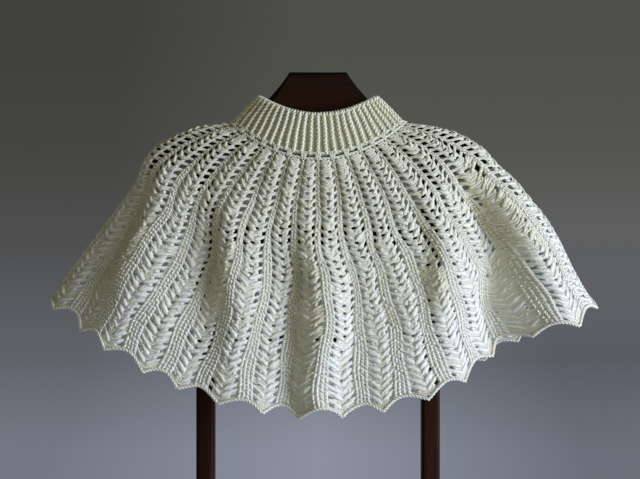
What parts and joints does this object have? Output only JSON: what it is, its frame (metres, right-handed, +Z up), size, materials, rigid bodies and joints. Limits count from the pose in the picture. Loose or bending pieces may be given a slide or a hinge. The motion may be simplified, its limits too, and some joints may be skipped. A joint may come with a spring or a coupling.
{
  "type": "crocheted capelet on a wooden valet stand",
  "caption": "Ivory crocheted bell-shaped capelet with a ribbed stand collar and a scalloped hem, resting on the yoke of a dark wooden valet stand.",
  "frame": {"origin": "on the floor, under the middle of the stand", "axes": "+Z up, the capelet's front faces -Y, +X to its right as seen from the front"},
  "size_m": [0.6043, 0.32, 1.1],
  "materials": {
    "body_yarn": "soft matte crocheted yarn",
    "collar_yarn": "soft matte ribbed yarn",
    "dark_wood": "satin dark stain"
  },
  "bodies": {
    "root": {"collar": "collar_yarn", "body_front": "body_yarn", "body_back": "body_yarn", "hem_edging": "body_yarn", "hanger": "dark_wood", "post_left": "dark_wood", "post_right": "dark_wood", "upper_rail": "dark_wood", "trouser_bar": "dark_wood", "foot_left": "dark_wood", "foot_right": "dark_wood", "base_rail": "dark_wood"}
  },
  "joints": []
}
